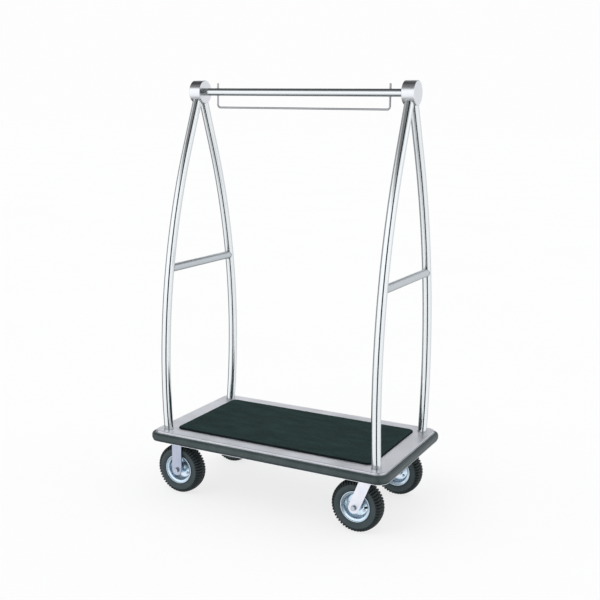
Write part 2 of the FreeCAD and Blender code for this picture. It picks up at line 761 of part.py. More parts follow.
def save_top():
    save("hub_right", hub())
    save("hub_left", mirrored(hub(), X_AXIS))
    save("hub_caps", hub_cap(), mirrored(hub_cap(), X_AXIS))
    save("bar_bolts", bar_bolt(), mirrored(bar_bolt(), X_AXIS))
    save("hanging_bar", hanging_bar())
    save("garment_rail", garment_rail())


def save_casters():
    bolts = []
    for rear in FRONT_AND_REAR.values():
        for side in LEFT_AND_RIGHT.values():
            bolts += [moved(s, x, y, 0) for x, y in bolt_places(side, rear) for s in caster_bolt()]
    save("caster_bolts", *bolts)
    for end, rear in FRONT_AND_REAR.items():
        y = rear * CASTER_Y
        out = [s if rear > 0 else turned(s, Z_AXIS, 180) for s in axle()]
        save(f"rigid_fork_{end}", moved(rigid_fork(), -CASTER_X, y, 0))
        save(f"rigid_axle_{end}", *[moved(s, -CASTER_X, y, WHEEL_RADIUS) for s in out])
        save(f"swivel_plate_{end}", moved(swivel_plate(), CASTER_X, y, 0))
        save(f"kingpin_{end}", *[moved(s, CASTER_X, y, 0) for s in kingpin()])
        save(f"ball_cage_{end}", moved(ball_cage(), CASTER_X, y, 0))
        save(f"swivel_fork_{end}", moved(swivel_fork(), CASTER_X, y, 0))
        save(f"swivel_axle_{end}", *[moved(s, CASTER_X - TRAIL, y, WHEEL_RADIUS) for s in out])
        save_wheel(f"rigid_{end}", -CASTER_X, rear)
        save_wheel(f"swivel_{end}", CASTER_X - TRAIL, rear)


os.makedirs("parts", exist_ok=True)
save_deck()
save_end_frames()
save_top()
save_casters()
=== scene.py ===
"""The looks of a bellman's luggage cart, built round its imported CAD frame. Metres, +Z up.

X runs along the deck, with the swivel casters at +X, and Y runs across it.
"""

import math

import bpy
import numpy as np
from mathutils import Matrix, Vector


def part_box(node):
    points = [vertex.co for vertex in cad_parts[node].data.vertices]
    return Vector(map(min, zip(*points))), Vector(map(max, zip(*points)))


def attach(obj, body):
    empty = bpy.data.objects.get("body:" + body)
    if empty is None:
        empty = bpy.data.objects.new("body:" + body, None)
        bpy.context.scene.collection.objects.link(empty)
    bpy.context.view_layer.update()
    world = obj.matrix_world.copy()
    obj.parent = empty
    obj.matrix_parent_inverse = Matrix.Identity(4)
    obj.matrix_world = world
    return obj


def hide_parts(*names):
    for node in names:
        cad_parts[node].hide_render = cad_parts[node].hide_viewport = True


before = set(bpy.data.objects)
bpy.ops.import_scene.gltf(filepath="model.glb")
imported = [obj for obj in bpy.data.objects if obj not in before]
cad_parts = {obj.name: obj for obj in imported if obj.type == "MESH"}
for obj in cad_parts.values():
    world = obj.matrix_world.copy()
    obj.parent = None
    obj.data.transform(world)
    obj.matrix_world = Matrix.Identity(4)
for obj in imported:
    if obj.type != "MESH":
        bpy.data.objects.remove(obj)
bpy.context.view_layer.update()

MM = 0.001
WHEELS = ("rigid_front", "rigid_rear", "swivel_front", "swivel_rear")
ENDS = ("left", "right")

# Camera: where it stands, how it is turned, in degrees, and its lens on a 36 mm sensor.
CAMERA_PLACE = (1.814, -3.528, 1.627)
CAMERA_YAW = 27.09
CAMERA_PITCH = 9.35
CAMERA_ROLL = 0.785
CAMERA_LENS = 58.04
CAMERA_SHIFT = -0.05

# Tyres, in millimetres. Each run of half the section, from the middle of the tread to the bead, has
# three points on its arc and its number of steps. A point is a radius and a distance across. A wall
# ring is a radius, a width and a height.
TYRE_TREAD = ((106.0, 0.0), (105.55, 9.5), (104.2, 19.0), 16)
TYRE_SHOULDER = ((104.2, 19.0), (102.2, 25.5), (98.0, 29.0), 10)
TYRE_WALL = ((98.0, 29.0), (82.0, 33.0), (62.8, 26.2), 26)
TYRE_BEAD = [(62.8, 26.2), (58.0, 24.1), (53.3, 22.0), (53.3, 14.0)]
TYRE_LINER = ((60.5, 19.5), (79.0, 27.0), (93.5, 21.5), 6)
TYRE_CROWN = ((93.5, 21.5), (98.0, 12.0), (99.5, 0.0), 4)
TYRE_LUGS = 50
TYRE_STEPS_PER_LUG = 12
LUG_DEPTH = 5.2
LUG_FOOT = (88.5, 94.0)
LUG_SLANT = 0.006
GROOVE_SHARE = 0.36
GROOVE_SOFTNESS = 0.045
ZIGZAG_PLACE = 7.6
ZIGZAG_SWING = 1.7
WALL_RINGS = ((67.0, 1.2, 0.8), (71.0, 0.6, 0.4), (86.6, 0.8, 0.6))

# Carpet, in metres.
PILE_STEP = 0.003
PILE_JITTER = 0.0007
CARPET_CORNER = 0.026
CARPET_ROLL = 0.006
CARPET_BORDER = 0.0045
CARPET_EDGE_DROP = 0.55
CARPET_WAVE = 0.0003
CARPET_LIFT = 0.0001

# Frame lines that the welds follow, in metres: the posts' bow, which lies across the cart, and radii.
POST_RADIUS = 0.019
BOW_RADIUS = 2.442
BOW_Y = -2.1714
BOW_Z = 0.5744
BOW_TOP = 1.475
CROSSBAR_RADIUS = 0.017
BAR_RADIUS = 0.016
WIRE_RADIUS = 0.004
WIRE_X = 0.390
HUB_BEAD = 0.0022
CROSSBAR_BEAD = 0.0020
FOOT_BEAD = 0.0016
WIRE_BEAD = 0.0010

# Studio. The strips are (azimuth in degrees from -Y towards +X, brightness), and the heights are
# (how far the ray rises, brightness). Only reflections see them.
STRIPS = (
    (-180, 0.70),
    (-174, 0.36),
    (-166, 0.36),
    (-160, 1.10),
    (-142, 1.10),
    (-134, 0.40),
    (-75, 0.40),
    (-65, 1.35),
    (15, 1.35),
    (22, 0.02),
    (45, 0.02),
    (52, 1.30),
    (122, 1.25),
    (134, 0.97),
    (172, 0.97),
    (180, 0.70),
)
HEIGHTS = ((-1.0, 0.30), (-0.80, 0.32), (-0.52, 0.85), (0.42, 1.0), (0.58, 0.17), (1.0, 0.13))
BACKDROP = (0.985, 0.985, 0.985, 1.0)
SOFT_LIGHT = (0.84, 0.85, 0.86, 1.0)
FLOOR_REACH = 60.0
FLOOR_TONES = ((0.195, 0.195, 0.195), (0.205, 0.205, 0.205))
FLOOR_GLOW = 0.76


# ---------------------------------------------------------------- materials


class Graph:
    """A material's node graph, built round its principled shader."""

    def __init__(self, name):
        self.material = bpy.data.materials.new(name)
        self.material.use_nodes = True
        self.nodes = self.material.node_tree.nodes
        self.links = self.material.node_tree.links
        self.shader = next(n for n in self.nodes if n.type == "BSDF_PRINCIPLED")
        self.place = self.nodes.new("ShaderNodeTexCoord").outputs["Object"]

    def put(self, kind, inputs=None, **settings):
        """A new node. An input that is a socket is linked, and any other value is set."""
        node = self.nodes.new("ShaderNode" + kind)
        for key, value in settings.items():
            setattr(node, key, value)
        for key, value in (inputs or {}).items():
            self.feed(node.inputs[key], value)
        return node

    def feed(self, socket, value):
        if isinstance(value, bpy.types.NodeSocket):
            self.links.new(value, socket)
        else:
            socket.default_value = value

    def shade(self, **values):
        """Sets or links the shader's own inputs, named with underscores for spaces."""
        for key, value in values.items():
            self.feed(self.shader.inputs[key.replace("_", " ")], value)

    def noise(self, scale, stretch=(1, 1, 1), detail=3.0, roughness=0.5):
        """Noise over the object's own space, with a size for each axis."""
        mapped = self.put("Mapping", {"Vector": self.place, "Scale": stretch})
        wanted = {"Vector": mapped.outputs[0], "Scale": scale, "Detail": detail, "Roughness": roughness}
        return self.put("TexNoise", wanted).outputs[0]

    def spread(self, value, low, high, start=0.25, end=0.75):
        """Maps a value from start..end to low..high."""
        wanted = {"Value": value, 1: start, 2: end, 3: low, 4: high}
        return self.put("MapRange", wanted).outputs[0]

    def blend(self, factor, first, second):
        """A colour between two."""
        node = self.put("Mix", data_type="RGBA")
        self.feed(node.inputs[0], factor)
        self.feed(node.inputs[6], (*first, 1.0) if isinstance(first, tuple) else first)
        self.feed(node.inputs[7], (*second, 1.0) if isinstance(second, tuple) else second)
        return node.outputs[2]

    def bump(self, height, strength, distance, under=None):
        wanted = {"Height": height, "Strength": strength, "Distance": distance}
        if under is not None:
            wanted["Normal"] = under
        return self.put("Bump", wanted).outputs[0]


def brushed(name, tone, grain, roughness=0.24):
    """Brushed stainless. Grain is how fine the brushing is along X, Y and Z, in lines a metre."""
    g = Graph(name)
    lines = g.noise(1.0, grain, detail=4.0, roughness=0.6)
    smudge = g.noise(5.0, detail=5.0, roughness=0.62)
    darker = tuple(0.9 * c for c in tone)
    colour = g.blend(g.spread(lines, 0.0, 1.0), darker, tone)
    tired = tuple(c * t for c, t in zip(tone, (0.93, 0.94, 0.92)))
    colour = g.blend(g.spread(smudge, 0.0, 0.55, 0.45, 0.8), colour, tired)
    fine = g.spread(lines, roughness - 0.05, roughness + 0.06)
    wear = g.spread(smudge, -0.03, 0.07, 0.4, 0.75)
    rough = g.put("Math", {0: fine, 1: wear}, operation="ADD").outputs[0]
    normal = g.bump(lines, 0.22, 0.00012)
    g.shade(Base_Color=colour, Metallic=1.0, Roughness=rough, Normal=normal)
    return g.material


def zinc(name, tone, roughness=0.34, streaks=(1, 1, 1)):
    """Zinc plate on pressed steel, with a faint blue bloom and rolling marks along its streaks."""
    g = Graph(name)
    bloom = g.noise(26.0, detail=5.0, roughness=0.6)
    rolled = g.noise(1.0, tuple(230.0 * c for c in streaks), detail=4.0, roughness=0.6)
    grit = g.noise(900.0, detail=2.0)
    blue = tuple(c * t for c, t in zip(tone, (0.90, 0.96, 1.03)))
    warm = tuple(c * t for c, t in zip(tone, (0.97, 0.95, 0.93)))
    dull = tuple(0.86 * c for c in tone)
    colour = g.blend(g.spread(bloom, 0.0, 1.0, 0.35, 0.7), tone, blue)
    colour = g.blend(g.spread(g.noise(9.0), 0.0, 0.4, 0.5, 0.75), colour, warm)
    colour = g.blend(g.spread(rolled, 0.7, 0.0, 0.35, 0.6), colour, dull)
    rough = g.spread(bloom, roughness - 0.06, roughness + 0.1, 0.3, 0.75)
    normal = g.bump(bloom, 0.12, 0.0006, g.bump(grit, 0.2, 0.00008))
    g.shade(Base_Color=colour, Metallic=1.0, Roughness=rough, Normal=normal)
    return g.material


def painted(name, tone):
    """Grey paint on folded steel, with orange peel and a little grime."""
    g = Graph(name)
    grime = g.noise(14.0, detail=6.0, roughness=0.65)
    peel = g.noise(420.0, detail=2.0)
    dirty = tuple(0.62 * c for c in tone)
    colour = g.blend(g.spread(grime, 0.0, 1.0, 0.45, 0.75), tone, dirty)
    g.shade(
        Base_Color=colour,
        Metallic=0.0,
        Roughness=g.spread(grime, 0.38, 0.58),
        Normal=g.bump(peel, 0.25, 0.0001),
    )
    return g.material


def rubber(name, tone, dust, roughness, grain_size):
    """Moulded rubber with a fine grain, and dust in broad patches."""
    g = Graph(name)
    grain = g.noise(grain_size, detail=3.0)
    patch = g.noise(11.0, detail=6.0, roughness=0.68)
    speck = g.noise(160.0, detail=3.0)
    colour = g.blend(g.spread(patch, 0.0, 0.7, 0.45, 0.75), tone, dust)
    colour = g.blend(g.spread(speck, 0.0, 0.25, 0.55, 0.8), colour, dust)
    normal = g.bump(speck, 0.12, 0.0003, g.bump(grain, 0.35, 0.00015))
    g.shade(
        Base_Color=colour,
        Metallic=0.0,
        Roughness=g.spread(patch, roughness - 0.06, roughness + 0.12),
        Specular_IOR_Level=0.42,
        Normal=normal,
    )
    return g.material


def carpet_pile(name, tone, tip):
    """Short cut pile: painted shade at the roots between tufts, lighter tips, and faint shading where
    the pile leans.
    """
    g = Graph(name)
    tuft = g.noise(520.0, detail=3.0, roughness=0.6)
    lean = g.noise(7.0, (1.0, 2.6, 1.0), detail=5.0, roughness=0.6)
    cells = g.put("TexVoronoi", {"Vector": g.place, "Scale": 330.0}).outputs["Distance"]
    # The roots, darker between the tufts, are painted shade.
    root = tuple(0.5 * c for c in tone)
    colour = g.blend(g.spread(cells, 1.0, 0.0, 0.1, 0.75), root, tone)
    colour = g.blend(g.spread(tuft, 0.0, 0.8, 0.45, 0.8), colour, tip)
    colour = g.blend(g.spread(lean, 0.0, 0.45, 0.42, 0.72), colour, tip)
    normal = g.bump(tuft, 0.7, 0.0009, g.bump(cells, 0.6, 0.0012))
    g.shade(
        Base_Color=colour,
        Metallic=0.0,
        Roughness=g.spread(tuft, 0.82, 0.98),
        Specular_IOR_Level=0.06,
        Sheen_Weight=0.04,
        Sheen_Roughness=0.5,
        Normal=normal,
    )
    return g.material


def floor_paint():
    """The pale studio floor. It glows by itself, so that its shadows stay faint."""
    g = Graph("studio_floor")
    haze = g.noise(0.7, detail=3.0)
    colour = g.blend(g.spread(haze, 0.0, 1.0), *FLOOR_TONES)
    g.shade(Base_Color=colour, Metallic=0.0, Roughness=0.9, Specular_IOR_Level=0.0)
    g.shade(Emission_Color=(1.0, 1.0, 1.0, 1.0), Emission_Strength=FLOOR_GLOW)
    return g.material


STEEL = (0.76, 0.79, 0.80)
steel_up = brushed("stainless_along_z", STEEL, (900, 900, 7), 0.15)
steel_long = brushed("stainless_along_x", STEEL, (7, 900, 900), 0.15)
steel_cross = brushed("stainless_along_y", (0.60, 0.64, 0.665), (900, 7, 900), 0.3)
# The wire rail's stainless is a darker copy of the posts' stainless: painted shade.
wire_steel_shaded = brushed("wire_stainless_painted_shade", (0.46, 0.47, 0.49), (40, 900, 900), 0.3)
steel_deck = brushed("stainless_deck", (0.87, 0.885, 0.93), (9, 700, 700), 0.42)
steel_face = brushed("stainless_turned", (0.80, 0.81, 0.84), (60, 500, 500), 0.24)
steel_weld = brushed("stainless_weld", (0.62, 0.635, 0.65), (300, 300, 300), 0.32)
# The rigid casters' zinc is a darker copy of the swivel casters' zinc: painted shade.
rigid_zinc_shaded = zinc("rigid_casters_zinc_painted_shade", (0.46, 0.49, 0.58), 0.36, (1, 1, 0.04))
zinc_swivel = zinc("zinc_swivel_casters", (0.80, 0.80, 0.84), 0.34, (1, 1, 0.04))
zinc_rim = zinc("zinc_rims", (0.66, 0.78, 0.86), 0.26)
zinc_dark = zinc("zinc_fasteners", (0.50, 0.53, 0.57), 0.3)
channel_paint = painted("channel_paint", (0.22, 0.235, 0.25))
bumper_rubber = rubber("bumper_rubber", (0.030, 0.046, 0.047), (0.075, 0.095, 0.1), 0.38, 900.0)
tyre_rubber = rubber("tyre_rubber", (0.010, 0.017, 0.018), (0.030, 0.043, 0.045), 0.62, 700.0)
wall_rubber = rubber("tyre_wall_rubber", (0.026, 0.042, 0.047), (0.060, 0.081, 0.090), 0.5, 700.0)
# The near-black groove rubber is painted shade in the tread's grooves.
groove_shade_rubber = rubber("tyre_groove_painted_shade", (0.004, 0.006, 0.007), (0.012, 0.015, 0.016), 0.75, 700.0)
tube_rubber = rubber("tube_rubber", (0.012, 0.013, 0.014), (0.03, 0.032, 0.034), 0.5, 900.0)
carpet = carpet_pile("carpet_pile", (0.010, 0.027, 0.026), (0.021, 0.056, 0.053))
# A darker copy of the pile, for a narrow band along the carpet's edge.
carpet_edge = carpet_pile("carpet_darker_edge_band", (0.006, 0.010, 0.012), (0.012, 0.020, 0.022))


def finish_nodes():
    """Gives every CAD node its material."""
    wanted = {
        "deck_pan": steel_deck,
        "bumper_rail": steel_deck,
        "hanging_bar": steel_long,
        "garment_rail": wire_steel_shaded,
        "hub_left": steel_face,
        "hub_right": steel_face,
        "hub_caps": steel_face,
        "crossbar_left": steel_cross,
        "crossbar_right": steel_cross,
        "bumper": bumper_rubber,
        "carpet_mat": carpet,
        "deck_stringers": channel_paint,
        "post_sockets": channel_paint,
        "post_screws": zinc_dark,
        "bar_bolts": zinc_dark,
        "caster_bolts": zinc_dark,
    }
    families = {
        "post_left": steel_up,
        "post_right": steel_up,
        "end_channel": channel_paint,
        "rigid_fork": rigid_zinc_shaded,
        "swivel_fork": zinc_swivel,
        "swivel_plate": zinc_swivel,
        "rim_outer": zinc_rim,
        "rim_inner": zinc_rim,
        "rigid_axle": zinc_dark,
        "swivel_axle": zinc_dark,
        "kingpin": zinc_dark,
        "ball_cage": zinc_dark,
        "bearings": zinc_dark,
        "rim_bolts": zinc_dark,
        "tyre": tyre_rubber,
        "inner_tube": tube_rubber,
    }
    for name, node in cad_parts.items():
        material = wanted.get(name)
        if material is None:
            material = next(m for start, m in families.items() if name.startswith(start))
        node.data.materials.clear()
        node.data.materials.append(material)


# ---------------------------------------------------------------- mesh helpers


def piece(name, points, faces, material):
    """A new smooth mesh object in the row frame."""
    mesh = bpy.data.meshes.new(name)
    mesh.from_pydata([tuple(p) for p in points], [], faces)
    mesh.validate()
    mesh.materials.append(material)
    mesh.polygons.foreach_set("use_smooth", [True] * len(mesh.polygons))
    mesh.update()
    made = bpy.data.objects.new(name, mesh)
    bpy.context.scene.collection.objects.link(made)
    return made


def grid_faces(rows, columns, wrap_rows, wrap_columns):
    """Quads over a grid of points stored row by row, closed round in either direction."""
    faces = []
    for i in range(rows if wrap_rows else rows - 1):
        for j in range(columns if wrap_columns else columns - 1):
            a = i * columns + j
            b = i * columns + (j + 1) % columns
            c = (i + 1) % rows * columns
            faces.append((a, b, c + (j + 1) % columns, c + j))
    return faces


def centre_of(node):
    low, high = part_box(node)
    return (low + high) / 2


# ---------------------------------------------------------------- tyres


def arc_points(start, middle, end, count):
    """Points on the circle through three points, from start up to, but without, end."""
    (ax, ay), (bx, by), (cx, cy) = start, middle, end
    d = 2 * (ax * (by - cy) + bx * (cy - ay) + cx * (ay - by))
    a2, b2, c2 = ax * ax + ay * ay, bx * bx + by * by, cx * cx + cy * cy
    x = (a2 * (by - cy) + b2 * (cy - ay) + c2 * (ay - by)) / d
    y = (a2 * (cx - bx) + b2 * (ax - cx) + c2 * (bx - ax)) / d
    first = math.atan2(ay - y, ax - x)
    mid = (math.atan2(by - y, bx - x) - first + math.pi) % (2 * math.pi) - math.pi
    last = (math.atan2(cy - y, cx - x) - first + math.pi) % (2 * math.pi) - math.pi
    if mid * last < 0:
        last += math.copysign(2 * math.pi, mid)
    radius = math.hypot(ax - x, ay - y)
    steps = [first + last * k / count for k in range(count)]
    return [(x + radius * math.cos(t), y + radius * math.sin(t)) for t in steps]


def tyre_section():
    """The closed section, from the middle of the tread round one side and back: (radius, y) in mm.

    Also gives how many of its points, from each end, are on the outside.
    """
    outside = arc_points(*TYRE_TREAD) + arc_points(*TYRE_SHOULDER) + arc_points(*TYRE_WALL)
    half = outside + TYRE_BEAD + arc_points(*TYRE_LINER) + arc_points(*TYRE_CROWN)
    other = [(r, -y) for r, y in reversed(half[1:])]
    return half + [TYRE_CROWN[2]] + other, len(outside)


def smooth_step(low, high, value):
    t = np.clip((value - low) / (high - low), 0.0, 1.0)
    return t * t * (3 - 2 * t)


def lug_relief(turn, radius, across):
    """How deep, in mm, the tread is cut at an angle (in lugs), a radius and a distance across.

    Wide shoulder lugs alternate from side to side. A zigzag groove parts them from a notched rib.
    """
    side = np.where(across > 0, 0.0, 0.5)
    wide = np.abs(across)
    slant = LUG_SLANT * np.clip(wide - 8.0, 0.0, 16.0)
    gap = np.abs((turn + side + slant) % 1.0 - 0.5)
    half_groove = 0.5 * GROOVE_SHARE
    lateral = 1.0 - smooth_step(half_groove - GROOVE_SOFTNESS, half_groove + GROOVE_SOFTNESS, gap)
    swing = 4.0 * np.abs((turn + side + 0.25) % 1.0 - 0.5) - 1.0
    zigzag = ZIGZAG_PLACE + ZIGZAG_SWING * swing
    in_shoulder = smooth_step(zigzag, zigzag + 1.4, wide) * smooth_step(*LUG_FOOT, radius)
    on_tread = smooth_step(101.5, 103.0, radius)
    ring = (1.0 - smooth_step(0.9, 1.7, np.abs(wide - zigzag))) * on_tread
    notch_gap = np.abs((turn + side + 0.12) % 1.0 - 0.5)
    notch = 1.0 - smooth_step(0.05, 0.12, notch_gap)
    in_rib = notch * smooth_step(1.8, 2.8, wide) * (1.0 - smooth_step(6.0, 7.5, wide)) * on_tread
    return LUG_DEPTH * np.maximum(np.maximum(lateral * in_shoulder, 0.8 * ring), 0.6 * in_rib)


def wall_rings(radius, across):
    """Raised rings and a rim guard on the sidewall, as a height in mm."""
    outside = smooth_step(20.0, 24.0, np.abs(across))
    rings = 0.0
    for at, width, height in WALL_RINGS:
        rings = rings + height * np.exp(-(((radius - at) / width) ** 2))
    return rings * outside * (1.0 - smooth_step(88.5, 90.0, radius))


def make_tyre(wheel):
    """A block-tread tyre in place of the plain CAD one."""
    section, outside = tyre_section()
    section = np.array(section)
    count = len(section)
    column = np.arange(count)
    steps = TYRE_LUGS * TYRE_STEPS_PER_LUG
    ahead = np.roll(section, -1, axis=0) - np.roll(section, 1, axis=0)
    ahead /= np.linalg.norm(ahead, axis=1)[:, None]
    outward = np.stack([ahead[:, 1], -ahead[:, 0]], axis=1)
    outer = (column < outside) | (column > count - outside)
    turn = np.arange(steps)[:, None] / TYRE_STEPS_PER_LUG
    radius, across = section[None, :, 0], section[None, :, 1]
    cut = np.where(outer[None, :], lug_relief(turn, radius, across), 0.0)
    raised = np.where(outer[None, :], wall_rings(radius, across), 0.0) - cut
    r = (radius + raised * outward[None, :, 0]) * MM
    y = (across + raised * outward[None, :, 1]) * MM
    angle = 2 * math.pi * np.arange(steps)[:, None] / steps
    middle = centre_of(f"tyre_{wheel}")
    points = np.stack(
        [middle.x + r * np.cos(angle), middle.y + y + 0 * angle, middle.z + r * np.sin(angle)], axis=2
    )
    made = piece(
        f"block_tyre_{wheel}",
        points.reshape(-1, 3),
        grid_faces(steps, count, True, True),
        tyre_rubber,
    )
    made.data.materials.append(wall_rubber)
    made.data.materials.append(groove_shade_rubber)
    corners = cut + np.roll(cut, -1, axis=0) + np.roll(cut, -1, axis=1)
    # Faces deep in the grooves get the near-black groove rubber: painted shade in the recess.
    shaded_groove_mask = corners > 1.6 * LUG_DEPTH
    on_wall = outer & (section[:, 0] < LUG_FOOT[0])
    kind = np.where(shaded_groove_mask, 2, np.where(on_wall[None, :], 1, 0))
    made.data.polygons.foreach_set("material_index", kind.astype(np.int32).ravel())
    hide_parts(f"tyre_{wheel}")
    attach(made, f"wheel_{wheel}")


# ---------------------------------------------------------------- carpet


def make_carpet():
    """The carpet as a slab with a rolled edge and an uneven pile."""
    low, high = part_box("carpet_mat")
    middle = (low + high) / 2
    half = (high - low) / 2
    columns = round(2 * half.x / PILE_STEP) + 1
    rows = round(2 * half.y / PILE_STEP) + 1
    rng = np.random.default_rng(7)
    x, y = np.meshgrid(np.linspace(-half.x, half.x, columns), np.linspace(-half.y, half.y, rows))
    u = np.clip((np.abs(x) - half.x) / CARPET_CORNER + 1.0, 0.0, 1.0)
    v = np.clip((np.abs(y) - half.y) / CARPET_CORNER + 1.0, 0.0, 1.0)
    x = x + np.sign(x) * CARPET_CORNER * (u * np.sqrt(1 - v * v / 2) - u)
    y = y + np.sign(y) * CARPET_CORNER * (v * np.sqrt(1 - u * u / 2) - v)
    edge = np.minimum(half.x - np.abs(x), half.y - np.abs(y))
    corner = CARPET_CORNER * (1.0 - np.hypot(u * np.sqrt(1 - v * v / 2), v * np.sqrt(1 - u * u / 2)))
    edge = np.clip(np.where((u > 0) & (v > 0), corner, edge), 0.0, None)
    roll = np.clip(1.0 - edge / CARPET_ROLL, 0.0, 1.0)
    thick = high.z - low.z
    drop = thick * CARPET_EDGE_DROP * (1.0 - np.sqrt(np.clip(1.0 - roll**2, 0.0, 1.0)))
    pile = PILE_JITTER * rng.uniform(-1.0, 1.0, x.shape)
    wave = CARPET_WAVE * np.sin(x * 31.0 + 1.7 * np.sin(y * 23.0)) * np.sin(y * 37.0 + 0.6)
    z = high.z - PILE_JITTER - CARPET_WAVE + pile * (1.0 - roll) + wave - drop
    inner = roll <= 0.0
    x = x + np.where(inner, rng.uniform(-PILE_JITTER, PILE_JITTER, x.shape), 0.0)
    y = y + np.where(inner, rng.uniform(-PILE_JITTER, PILE_JITTER, y.shape), 0.0)
    top = np.stack([x + middle.x, y + middle.y, z], axis=2).reshape(-1, 3)
    loop = list(range(columns))
    loop += [i * columns + columns - 1 for i in range(1, rows)]
    loop += [(rows - 1) * columns + j for j in range(columns - 2, -1, -1)]
    loop += [i * columns for i in range(rows - 2, 0, -1)]
    under = top[loop].copy()
    under[:, 2] = low.z + CARPET_LIFT
    base = len(top)
    faces = grid_faces(rows, columns, False, False)
    size = len(loop)
    faces += [(loop[k], base + k, base + (k + 1) % size, loop[(k + 1) % size]) for k in range(size)]
    faces.append(tuple(base + k for k in reversed(range(size))))
    made = piece("cut_pile_carpet", np.vstack([top, under]), faces, carpet)
    made.data.materials.append(carpet_edge)
    kind = np.ones(len(faces), np.int32)
    # Faces within the border band get the darker edge pile.
    kind[: (rows - 1) * (columns - 1)] = (edge[:-1, :-1] < CARPET_BORDER).ravel()
    made.data.polygons.foreach_set("material_index", kind)
    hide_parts("carpet_mat")
    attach(made, "chassis")


# ---------------------------------------------------------------- welds


def post_line(z):
    """How far a post's centreline is from the cart's middle at a height, and its tilt there."""
    top_tilt = math.asin((BOW_TOP - BOW_Z) / BOW_RADIUS)
    if z < BOW_TOP:
        tilt = math.asin((z - BOW_Z) / BOW_RADIUS)
        return BOW_Y + BOW_RADIUS * math.cos(tilt), tilt
    return BOW_Y + BOW_RADIUS * math.cos(top_tilt) - (z - BOW_TOP) * math.tan(top_tilt), top_tilt


def around(count):
    return [2 * math.pi * k / count for k in range(count)]


def hub_loop(hub):
    """Where a rear post meets its drum."""
    y, tilt = post_line(hub.z)
    radius = (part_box("hub_right")[1].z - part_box("hub_right")[0].z) / 2
    loop = []
    for turn in around(96):
        off_y = y + POST_RADIUS * math.sin(turn) * math.cos(tilt)
        off_z = POST_RADIUS * math.sin(turn) * math.sin(tilt)
        along = off_z * math.cos(tilt) - off_y * math.sin(tilt)
        down = -along - math.sqrt(along**2 - off_y**2 - off_z**2 + radius**2)
        loop.append(
            (
                hub.x + POST_RADIUS * math.cos(turn),
                off_y - down * math.sin(tilt),
                hub.z + off_z + down * math.cos(tilt),
            )
        )
    return loop


def crossbar_loop(bar):
    """Where a crossbar meets its rear post."""
    loop = []
    for turn in around(72):
        x = CROSSBAR_RADIUS * math.cos(turn)
        z = bar.z + CROSSBAR_RADIUS * math.sin(turn)
        y, tilt = post_line(z)
        loop.append((bar.x + x, y - math.sqrt(POST_RADIUS**2 - x**2) / math.cos(tilt), z))
    return loop


def foot_loop(x, z):
    """Where a rear post comes out of the deck."""
    y, tilt = post_line(z)
    return [
        (x + POST_RADIUS * math.cos(t), y + POST_RADIUS * math.sin(t) / math.cos(tilt), z)
        for t in around(72)
    ]


def wire_loop(x, z, up):
    """Where a leg of the wire rail comes out of the bar, above it or below it."""
    return [
        (
            x + WIRE_RADIUS * math.cos(t),
            WIRE_RADIUS * math.sin(t),
            z + up * math.sqrt(BAR_RADIUS**2 - (WIRE_RADIUS * math.sin(t)) ** 2),
        )
        for t in around(36)
    ]


def bead(path, radius, ripple=0.1, sides=10):
    """The points and faces of a weld bead on a closed path, with the ripple of its puddles."""
    path = np.asarray(path, float)
    count = len(path)
    ahead = np.roll(path, -1, axis=0) - np.roll(path, 1, axis=0)
    ahead /= np.linalg.norm(ahead, axis=1)[:, None]
    away = path - path.mean(axis=0)
    away -= (away * ahead).sum(axis=1)[:, None] * ahead
    away /= np.linalg.norm(away, axis=1)[:, None]
    side = np.cross(ahead, away)
    steps = np.linalg.norm(np.roll(path, -1, axis=0) - path, axis=1)
    length = steps.sum()
    puddles = round(length / (1.8 * radius))
    run = np.concatenate([[0.0], np.cumsum(steps)[:-1]]) / length
    swell = radius * (1.0 + ripple * np.cos(2 * math.pi * puddles * run))
    angle = np.array(around(sides))
    outward = np.cos(angle)[None, :, None] * away[:, None, :]
    sideways = np.sin(angle)[None, :, None] * side[:, None, :]
    points = path[:, None, :] + swell[:, None, None] * (outward + sideways)
    return points.reshape(-1, 3), grid_faces(count, sides, True, True)


def make_welds(name, loops, radius):
    """One piece with a bead on each loop and on its mirror image in front."""
    points, faces = [], []
    for loop in loops:
        for mirror in (1, -1):
            spots, quads = bead([(x, mirror * y, z) for x, y, z in loop], radius)
            base = len(points)
            points += [tuple(p) for p in spots]
            faces += [tuple(base + k for k in (quad if mirror > 0 else quad[::-1])) for quad in quads]
    made = piece(name, points, faces, steel_weld)
    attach(made, "chassis")


def make_all_welds():
    hubs = [centre_of(f"hub_{end}") for end in ENDS]
    posts = [centre_of(f"post_{end}_rear").x for end in ENDS]
    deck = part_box("deck_pan")[1].z
    bar = centre_of("hanging_bar")
    legs = [(side * WIRE_X, bar.z, up) for side in (-1, 1) for up in (-1, 1)]
    make_welds("hub_welds", [hub_loop(hub) for hub in hubs], HUB_BEAD)
    bars = [centre_of(f"crossbar_{end}") for end in ENDS]
    make_welds("crossbar_welds", [crossbar_loop(place) for place in bars], CROSSBAR_BEAD)
    make_welds("foot_welds", [foot_loop(x, deck) for x in posts], FOOT_BEAD)
    make_welds("wire_welds", [wire_loop(*leg) for leg in legs], WIRE_BEAD)


# ---------------------------------------------------------------- studio


def make_floor():
    mesh = bpy.data.meshes.new("studio_floor")
    corners = [(x * FLOOR_REACH, y * FLOOR_REACH, 0) for x, y in ((-1, -1), (1, -1), (1, 1), (-1, 1))]
    mesh.from_pydata(corners, [], [(0, 1, 2, 3)])
    mesh.materials.append(floor_paint())
    floor = bpy.data.objects.new("studio_floor", mesh)
    bpy.context.scene.collection.objects.link(floor)
    floor.visible_glossy = False


def fill_ramp(node, stops):
    """Puts places and colours into a colour ramp."""
    ramp = node.color_ramp
    while len(ramp.elements) < len(stops):
        ramp.elements.new(0.5)
    for element, (place, colour) in zip(ramp.elements, stops):
        element.position = place
        element.color = (*colour, 1.0)


